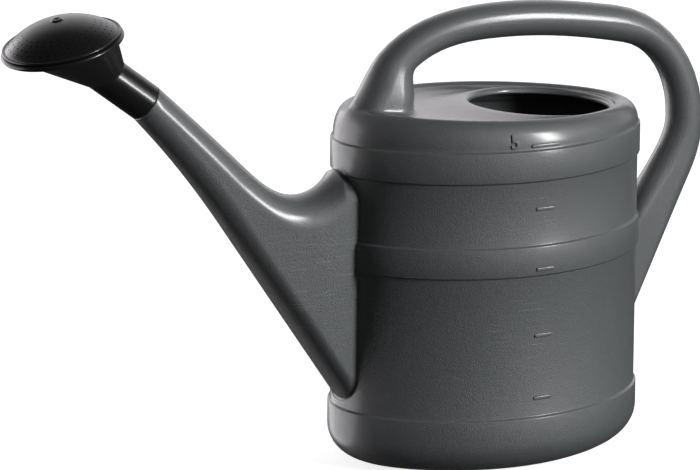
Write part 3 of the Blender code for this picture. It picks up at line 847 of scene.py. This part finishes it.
def drill_tree(material):
    """Geometry nodes that cut rings of round holes through a plate, along its axis."""
    tree = bpy.data.node_groups.new("spray_holes", 'GeometryNodeTree')
    tree.interface.new_socket("Plate", in_out='INPUT', socket_type='NodeSocketGeometry')
    tree.interface.new_socket("Hole Radius", in_out='INPUT', socket_type='NodeSocketFloat')
    tree.interface.new_socket("Depth", in_out='INPUT', socket_type='NodeSocketFloat')
    tree.interface.new_socket("Centre", in_out='INPUT', socket_type='NodeSocketVector')
    tree.interface.new_socket("Turn", in_out='INPUT', socket_type='NodeSocketRotation')
    for k in range(len(HOLE_RINGS)):
        tree.interface.new_socket(f"Ring {k + 1} Radius", in_out='INPUT', socket_type='NodeSocketFloat')
        tree.interface.new_socket(f"Ring {k + 1} Count", in_out='INPUT', socket_type='NodeSocketInt')
    tree.interface.new_socket("Geometry", in_out='OUTPUT', socket_type='NodeSocketGeometry')
    source = tree.nodes.new("NodeGroupInput")

    def given(name):
        return Wire(tree, source.outputs[name])

    start = Wire(tree)
    drill = start.node("GeometryNodeMeshCylinder", None,
                       {"Vertices": 10, "Radius": given("Hole Radius"), "Depth": given("Depth")})
    join = tree.nodes.new("GeometryNodeJoinGeometry")
    for k in range(len(HOLE_RINGS)):
        ring = start.node("GeometryNodeMeshCircle", None,
                          {"Vertices": given(f"Ring {k + 1} Count"),
                           "Radius": given(f"Ring {k + 1} Radius")})
        holes = start.node("GeometryNodeInstanceOnPoints", None, {"Points": ring, "Instance": drill})
        tree.links.new(holes.out, join.inputs[0])
    solid = start.node("GeometryNodeRealizeInstances", None, {0: Wire(tree, join.outputs[0])})
    placed = start.node("GeometryNodeTransform", None,
                        {"Geometry": solid, "Translation": given("Centre"), "Rotation": given("Turn")})
    cut = start.node("GeometryNodeMeshBoolean", {"operation": 'DIFFERENCE', "solver": 'EXACT'},
                     {0: given("Plate"), 1: placed})
    whole = start.node("GeometryNodeRealizeInstances", None, {0: cut})
    painted = start.node("GeometryNodeSetMaterial", None, {"Geometry": whole, "Material": material})
    start.node("NodeGroupOutput", None, {0: painted})
    return tree


def bake(name, data, tree, **values):
    """Run a geometry tree on a mesh, with its inputs set by identifier, and give the plain mesh."""
    holder = bpy.data.objects.new(name, data)
    bpy.context.scene.collection.objects.link(holder)
    modifier = holder.modifiers.new(name, 'NODES')
    modifier.node_group = tree
    for item in tree.interface.items_tree:
        key = item.name.replace(" ", "_")
        if item.in_out == 'INPUT' and key in values:
            modifier[item.identifier] = values[key]
    bpy.context.view_layer.update()
    finished = holder.evaluated_get(bpy.context.evaluated_depsgraph_get())
    baked = bpy.data.meshes.new_from_object(finished)
    holder.modifiers.remove(modifier)
    bpy.data.objects.remove(holder, do_unlink=True)
    return baked


hole_values = {}
for k, (radius, count) in enumerate(HOLE_RINGS):
    hole_values[f"Ring_{k + 1}_Radius"] = radius
    hole_values[f"Ring_{k + 1}_Count"] = count
face_turn = Matrix((face_across, rose_side, face_axis)).transposed().to_euler()
drilled = bake("drilled_plate", plate_data, drill_tree(ROSE_PLASTIC), Hole_Radius=HOLE_RADIUS,
               Depth=DRILL_DEPTH, Centre=face_centre, Turn=face_turn, **hole_values)
show("rose_plate", drilled, ROSE_PLASTIC, "plate", "rose_plastic", "rose_plate", sharp=50)

# ---- Studio ----
# A pale floor, one tall softbox to the right in front, and a white room that lights the can only where
# its backdrop and its left wall are mirrored.

EYE = Vector((-1.0083, -1.9724, 0.7093))
VIEW_YAW = 26.74
VIEW_PITCH = 14.113
VIEW_ROLL = 0.288
LENS = 180
SENSOR = 36
FAR_CLIP = 50
FLOOR_REACH = 6.0
FLOOR_DROP = 0.0005
FLOOR_TONE = 0.8
FLOOR_GLOW = 0.8
KEY_PLACE = Vector((1.42, -2.0, 0.97))
KEY_AIM = Vector((0.05, 0, 0.2))
KEY_SIZE = (0.42, 1.15)
KEY_POWER = 74

floor_mesh = bmesh.new()
bmesh.ops.create_grid(floor_mesh, x_segments=2, y_segments=2, size=FLOOR_REACH)
floor_data = bpy.data.meshes.new("floor")
floor_mesh.to_mesh(floor_data)
floor_data.materials.append(new_material("floor", 0.9, Specular_IOR_Level=0.0, Emission_Strength=FLOOR_GLOW,
                                         Base_Color=(FLOOR_TONE, FLOOR_TONE, FLOOR_TONE, 1),
                                         Emission_Color=(1, 1, 1, 1))[0])
floor = bpy.data.objects.new("floor", floor_data)
bpy.context.scene.collection.objects.link(floor)
floor.location.z = -FLOOR_DROP
floor.visible_diffuse = False
floor.visible_glossy = False


key_light = bpy.data.lights.new("key", 'AREA')
key_light.shape = 'RECTANGLE'
key_light.size, key_light.size_y = KEY_SIZE
key_light.energy = KEY_POWER
key_lamp = bpy.data.objects.new("key", key_light)
bpy.context.scene.collection.objects.link(key_lamp)
key_lamp.location = KEY_PLACE
key_lamp.rotation_euler = (KEY_AIM - KEY_PLACE).to_track_quat('-Z', 'Y').to_euler()

# The white backdrop behind the can is what its level surfaces mirror, and a pale wall low on the
# left is mirrored all down its left end. The rest of the room is dark.
BACKDROP_HEADING = (0.436, 0.87, 0.0)
BACKDROP_LIGHT = 1.25
SIDE_HEADING = (-0.62, 0.785, 0.0)
SIDE_LIGHT = 2.6
FILL_LIGHT = 0.045
world = bpy.data.worlds.new("studio")
bpy.context.scene.world = world
world.use_nodes = True
world.node_tree.nodes.clear()
sky = Wire(world.node_tree)
seen = sky.node("ShaderNodeBackground", None, {"Color": (1, 1, 1, 1), "Strength": 1.0})
heading = sky.node("ShaderNodeTexCoord")
height = heading.node("ShaderNodeSeparateXYZ", None, {0: heading}, 2)


def towards(aim):
    return heading.node("ShaderNodeVectorMath", {"operation": 'DOT_PRODUCT'}, {0: heading, 1: aim}, 1)


backdrop = towards(BACKDROP_HEADING).between(0.35, 0.9) * height.between(-0.02, 0.06) * BACKDROP_LIGHT
side_wall = towards(SIDE_HEADING).between(0.74, 0.82) * (1 - height.between(0.25, 0.5)) * SIDE_LIGHT
glow = FILL_LIGHT + backdrop + side_wall
felt = sky.node("ShaderNodeBackground", None, {"Color": (1.0, 0.97, 1.0, 1), "Strength": glow})
straight = sky.node("ShaderNodeLightPath")
both = sky.node("ShaderNodeMixShader", None, {0: straight, 1: felt, 2: seen})
sky.node("ShaderNodeOutputWorld", None, {0: both})

bpy.context.scene.view_settings.view_transform = 'Standard'
bpy.context.scene.view_settings.look = 'None'

camera_data = bpy.data.cameras.new("camera")
camera_data.lens = LENS
camera_data.sensor_width = SENSOR
camera_data.clip_end = FAR_CLIP
camera = bpy.data.objects.new("camera", camera_data)
bpy.context.scene.collection.objects.link(camera)
yaw, pitch, roll = (math.radians(angle) for angle in (VIEW_YAW, VIEW_PITCH, VIEW_ROLL))
ahead = Vector((math.sin(yaw) * math.cos(pitch), math.cos(yaw) * math.cos(pitch), -math.sin(pitch)))
right = Vector((math.cos(yaw), -math.sin(yaw), 0))
above = right.cross(ahead)
camera_right = right * math.cos(roll) + above * math.sin(roll)
camera_up = above * math.cos(roll) - right * math.sin(roll)
camera_turn = Matrix((camera_right, camera_up, -ahead)).transposed()
camera.matrix_world = Matrix.Translation(EYE) @ camera_turn.to_4x4()
bpy.context.scene.camera = camera
